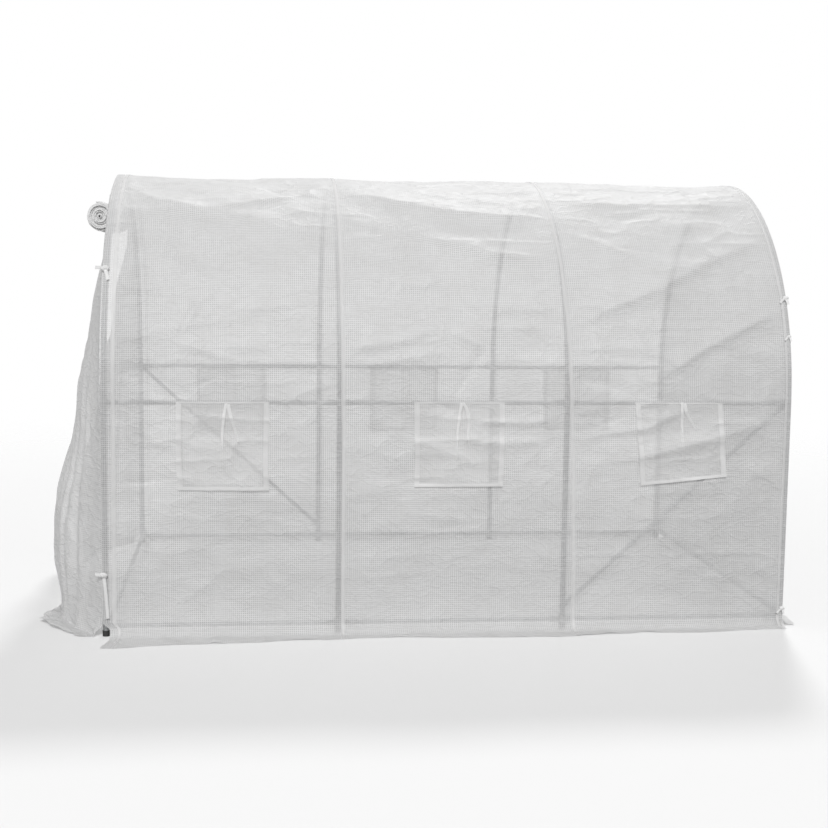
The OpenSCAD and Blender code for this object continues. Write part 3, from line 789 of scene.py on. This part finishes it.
def windowNet(side, n, centre):
    mark = f"{'Front' if side < 0 else 'Back'}{n}"

    def lay(a, b):
        x = centre + (2 * a - 1) * -side * (windowPlan["half"] + net["overlap"])
        tall = windowPlan["high"] - windowPlan["low"] + 2 * net["overlap"]
        z = windowPlan["low"] - net["overlap"] + b * tall
        sunk = -0.0014 - 0.003 * np.sin(math.pi * a) * np.sin(math.pi * b)
        return coverPoint(x, vOf(z, side), sunk), (x, z)

    return sheet(f"windowNet{mark}", net["cells"], net["cells"], lay, netting, "screen")


# Each window's two hanging ties: where they start from the window's centre, and points down to the tip
ties = {
    (-1, 0): [[(0.014, 1.008), (0.004, 0.95), (-0.002, 0.88), (-0.003, 0.806)],
              [(0.022, 1.006), (0.034, 0.95), (0.050, 0.90), (0.065, 0.842)]],
    (-1, 1): [[(0.029, 1.014), (0.020, 0.96), (0.012, 0.87), (0.007, 0.764)],
              [(0.031, 1.014), (0.050, 0.985), (0.060, 0.93), (0.056, 0.86), (0.063, 0.816)]],
    (-1, 2): [[(0.009, 1.016), (0.012, 0.97), (0.016, 0.90), (0.021, 0.814)],
              [(0.020, 1.010), (0.034, 0.965), (0.056, 0.93), (0.078, 0.894)]],
    (1, 0): [[(-0.016, 1.008), (-0.022, 0.93), (-0.018, 0.80)],
             [(0.016, 1.006), (0.022, 0.93), (0.030, 0.81)]],
    (1, 1): [[(-0.016, 1.008), (-0.012, 0.92), (-0.020, 0.81)],
             [(0.012, 1.006), (0.024, 0.94), (0.020, 0.82)]],
    (1, 2): [[(-0.014, 1.008), (-0.024, 0.92), (-0.030, 0.82)],
             [(0.016, 1.006), (0.018, 0.93), (0.012, 0.80)]],
}


hanging = {"width": (0.013, 0.017), "rows": 44}


def hangingTie(side, n, k, centre, line):
    mark = f"{'Front' if side < 0 else 'Back'}{n + 1}_{k + 1}"
    points = [Vector(p) for p in bendPath([(x, 0, z) for x, z in line], 12)]
    lengths = np.cumsum([0.0] + [(q - p).length for p, q in zip(points, points[1:])])
    width = hanging["width"][k]

    def lay(a, b):
        at = b * lengths[-1]
        x = centre + np.interp(at, lengths, [p.x for p in points])
        z = np.interp(at, lengths, [p.z for p in points])
        twist = 0.5 + 0.5 * np.cos(at * 14 + k)
        x = x + (a - 0.5) * width * (0.75 + 0.25 * twist) * side
        lift = 0.008 + 0.003 * np.sin(at * 18 + n) - (a - 0.5) * width * 0.4 * (1 - twist)
        return coverPoint(x, vOf(z, side), lift), (at, (a - 0.5) * width)

    return sheet(f"windowTie{mark}", 3, hanging["rows"], lay, strap, "tape")


replaced = {-1: "front", 1: "back"}
flaps, nets = {}, {}
for side in (-1, 1):
    for n, centre in enumerate(windowPlan["centres"]):
        piece, extra = windowFlap(side, n + 1, centre, flapSets[side][n])
        extra += [hangingTie(side, n, k, centre, line) for k, line in enumerate(ties[side, n])]
        flaps[side, n] = (piece, extra)
        nets[side, n] = windowNet(side, n + 1, centre)
    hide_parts(f"{replaced[side]}_window_flaps")
    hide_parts(f"{replaced[side]}_window_screens")
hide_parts("window_strips")
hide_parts("window_ties")
print("windows fitted")

# Corner ties that hold the cover to the end hoops

cornerTies = [  # hoop, side, cloth girth from the floor, size, length of the longer tail
    (0, -1, 1.60, 1.1, 0.05), (3, -1, 1.49, 0.8, 0.04), (3, -1, 1.31, 0.6, 0.04), (0, -1, 0.27, 1.0, 0.19),
    (3, -1, 0.08, 0.7, 0.04), (0, 1, 1.60, 1.0, 0.06), (3, 1, 1.49, 0.8, 0.04), (0, 1, 0.27, 1.0, 0.15),
    (3, 1, 0.08, 0.7, 0.04),
]


def knot(name, centre, size, seed):  # a small bunched knot
    bm = bmesh.new()
    bmesh.ops.create_icosphere(bm, subdivisions=3, radius=0.015 * size)
    for vert in bm.verts:
        p = np.array(vert.co) * 60 + seed
        bulge = 1 + 0.28 * cloud(p[0] + p[2], p[1], 0.6, seed) + 0.12 * cloud(p[0], p[2], 0.25, seed + 1)
        vert.co = Vector((vert.co.x * 1.1, vert.co.y * 0.6, vert.co.z * 0.8)) * float(bulge)
    bmesh.ops.translate(bm, verts=bm.verts, vec=centre)
    layer = bm.loops.layers.uv.new("flat")
    for face in bm.faces:
        for loop in face.loops:
            loop[layer].uv = (loop.vert.co.x + loop.vert.co.y, loop.vert.co.z)
    mesh = bpy.data.meshes.new(name)
    bm.to_mesh(mesh)
    bm.free()
    return dress(name, mesh, strap)


knots = []
for n, (hoop, side, g, size, long) in enumerate(cornerTies):
    outward = -1 if hoop == 0 else 1
    at = hoopX[hoop] + outward * 0.006
    spot = Vector(coverPoint([at], [side * (crown - g)], 0.009 * size)[:, 0])
    knots.append(knot(f"cornerKnot{n + 1}", spot, size, 201 + n))
    if outward < 0:
        tails = [(-0.036, 0.006), (0.016, -long)]
    else:
        tails = [(-0.034, -0.030), (0.012, -long)]
    for k, (dx, dg) in enumerate(tails):
        mid = coverPoint([at + dx * 0.5 * size], [side * (crown - g - dg * 0.35 * size)], 0.014 * size)[:, 0]
        tip = coverPoint([at + dx * size], [side * (crown - g - dg * size)], 0.010)[:, 0]
        line = bendPath([spot, mid, tip])
        knots.append(strip(f"cornerTail{n + 1}_{k + 1}", line, 0.014 * size, (-dg * side, 0, dx * side)))
print("ties made")

# Bolts through the hoops and rails

boltPlan = {"head": 0.0055, "nut": 0.006, "thick": 0.0045, "sunk": 0.0018}


def bolts():
    bm = bmesh.new()

    def part(taper, at, way, radius, depth, seg):
        turn = Vector((0, 0, 1)).rotation_difference(Vector(way)).to_matrix().to_4x4()
        bmesh.ops.create_cone(bm, cap_ends=True, segments=seg, radius1=radius, radius2=radius * taper,
                              depth=depth, matrix=Matrix.Translation(at) @ turn)

    spots = []
    for n, x in enumerate(hoopX):
        for side in (-1, 1):
            for rail in ("mid", "ground"):
                low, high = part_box(f"{'front' if side < 0 else 'back'}_{rail}_rail")
                spot = Vector((x, side * (filmR - boltPlan["sunk"]), (low.z + high.z) / 2))
                spots.append((spot, Vector((0, side, 0))))
        spots.append((Vector((x, 0, springZ + filmR - boltPlan["sunk"])), Vector((0, 0, 1))))
    for node, outward, x in (("door_end_ground_rail", -1, hoopX[0]), ("far_end_ground_rail", 1, hoopX[3])):
        low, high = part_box(node)
        for side in (-1, 1):
            spot = Vector((x + outward * tubeR, side * postY, (low.z + high.z) / 2))
            spots.append((spot, Vector((outward, 0, 0))))
    for spot, way in spots:
        part(0.72, spot + way * 0.0002, way, boltPlan["head"], 0.0018, 20)
        inner = spot - way * (2 * tubeR + 0.0085)
        part(1.0, inner, -way, boltPlan["nut"], boltPlan["thick"], 6)
        part(0.9, inner - way * 0.005, -way, 0.003, 0.006, 12)
    sharp = [e for e in bm.edges if e.is_manifold and e.calc_face_angle(0) > 0.5]
    bmesh.ops.bevel(bm, geom=sharp, offset=0.0004, segments=1, profile=0.5, affect="EDGES", material=-1)
    mesh = bpy.data.meshes.new("frameBolts")
    bm.to_mesh(mesh)
    bm.free()
    return dress("frameBolts", mesh, zinc, smoothed=False)


bolts()
print("bolts fitted")

# Each bay's width, the arches and ridge rail that hold it and the pieces sewn on it, and the bay under each
# flap; worked out here and used no further

for n, piece in enumerate(bays):
    width = edges[n + 1] - edges[n]
    held = [f"hoop_{k}_arch" for k in (n + 1, n + 2)] + ["ridge_rail"]
    extras = [seamTapes[n], *([seamTapes[3], *knots] if n == 2 else [])]
for (side, n), (piece, extra) in flaps.items():
    under = [f"coverBay{n + 1}"]

# Floor, background and light. A sun has degrees from upright, turn, strength and softness

stage = {"floor": 0.80, "shade": 0.30, "fade": (2.2, 8.0), "sky": 0.40,
         "suns": {"key": (45, 165, 1.1, 8), "fill": (50, -9, 2.4, 20)}}


def stageSet():
    bm = bmesh.new()
    bmesh.ops.create_grid(bm, x_segments=1, y_segments=1, size=40)
    mesh = bpy.data.meshes.new("floor")
    bm.to_mesh(mesh)
    bm.free()
    floor = bpy.data.objects.new("floor", mesh)
    scene.collection.objects.link(floor)
    b = Board("floorPaint")
    spot = b.node("ShaderNodeTexCoord", output="Object")
    away = b.node("ShaderNodeVectorMath", {"operation": "LENGTH"}, {0: spot}, 1)
    seen = b.calc("MAXIMUM", b.node("ShaderNodeLightPath"), b.node("ShaderNodeLightPath", output=3))
    paint = b.gloss(Base_Color=b.tint(seen, grey(stage["shade"]), grey(stage["floor"])), Roughness=0.9)
    clear = b.node("ShaderNodeBsdfTransparent", {}, {"Color": grey(1.0)})
    b.finish(b.node("ShaderNodeMixShader", {}, {0: b.ease(away, *stage["fade"]), 1: paint, 2: clear}))
    mesh.materials.append(b.material)

    world = bpy.data.worlds.new("studio")
    scene.world = world
    world.use_nodes = True
    tree = world.node_tree
    tree.nodes.clear()
    paths = tree.nodes.new("ShaderNodeLightPath")
    direct = tree.nodes.new("ShaderNodeMath")
    direct.operation = "MAXIMUM"
    tree.links.new(paths.outputs["Is Camera Ray"], direct.inputs[0])
    tree.links.new(paths.outputs["Is Glossy Ray"], direct.inputs[1])
    soft, plain = tree.nodes.new("ShaderNodeBackground"), tree.nodes.new("ShaderNodeBackground")
    soft.inputs["Strength"].default_value = stage["sky"]
    plain.inputs["Strength"].default_value = 1.0
    for shade in (soft, plain):
        shade.inputs["Color"].default_value = grey(1.0)
    mix, out = tree.nodes.new("ShaderNodeMixShader"), tree.nodes.new("ShaderNodeOutputWorld")
    tree.links.new(direct.outputs[0], mix.inputs[0])
    tree.links.new(soft.outputs[0], mix.inputs[1])
    tree.links.new(plain.outputs[0], mix.inputs[2])
    tree.links.new(mix.outputs[0], out.inputs["Surface"])

    for name, (tilt, turn, strength, angle) in stage["suns"].items():
        lamp = bpy.data.lights.new(name, "SUN")
        lamp.energy, lamp.angle = strength, math.radians(angle)
        sun = bpy.data.objects.new(name, lamp)
        sun.rotation_euler = (math.radians(tilt), 0, math.radians(turn))
        scene.collection.objects.link(sun)


stageSet()
scene.view_settings.view_transform = "Standard"
print("scene ready")
